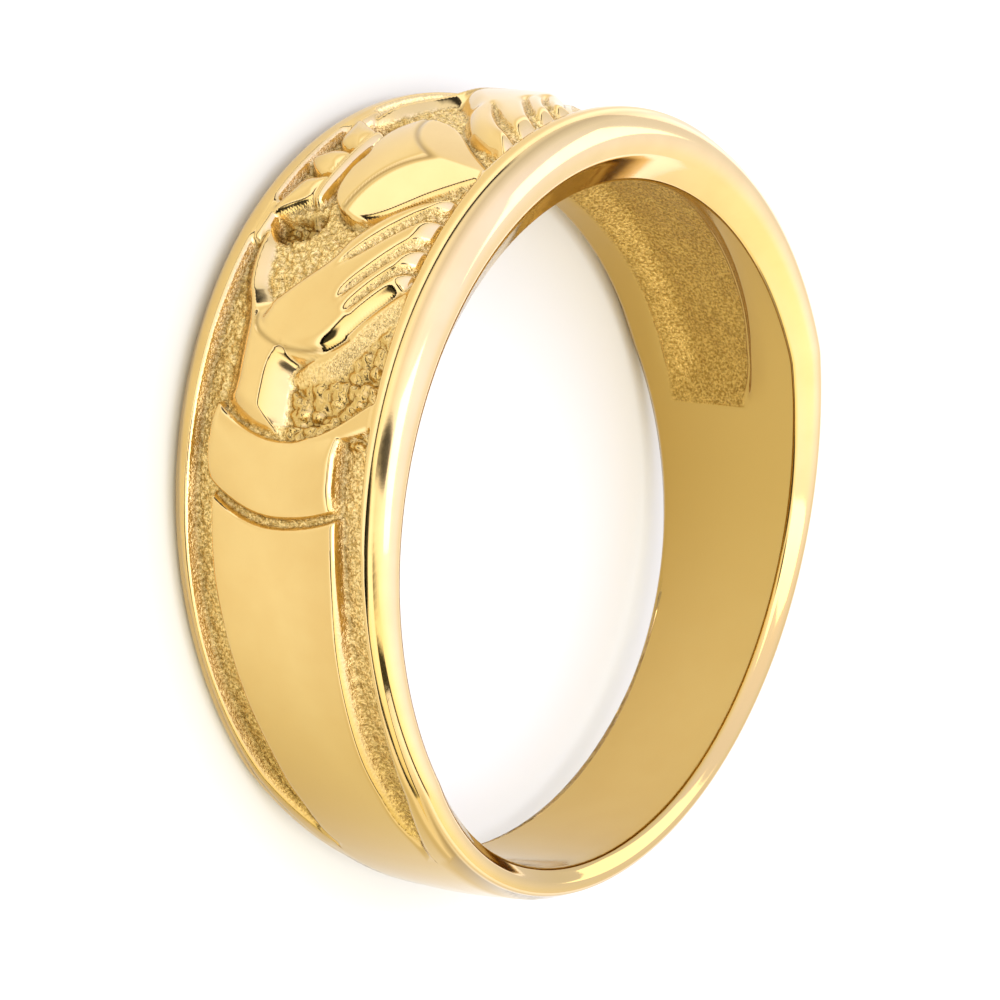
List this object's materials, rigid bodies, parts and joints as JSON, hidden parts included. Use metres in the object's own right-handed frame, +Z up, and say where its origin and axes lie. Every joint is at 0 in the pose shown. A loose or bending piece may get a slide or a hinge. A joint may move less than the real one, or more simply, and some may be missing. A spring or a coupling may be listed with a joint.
{
  "type": "claddagh ring",
  "caption": "Wide tapering finger ring cast in one piece, with a heart, crown and two hands in relief between raised rails.",
  "frame": {"origin": "middle of the ring's box in plan, on the surface that the ring lies on", "axes": "+Z up from the surface, close to the finger hole's axis, and -Y towards the heart"},
  "size_m": [0.0224, 0.0236, 0.0083],
  "materials": {
    "gold": "polished yellow gold, sandblasted in the channels and the hollow"
  },
  "bodies": {
    "root": {"claddagh_ring": "gold"}
  },
  "joints": []
}
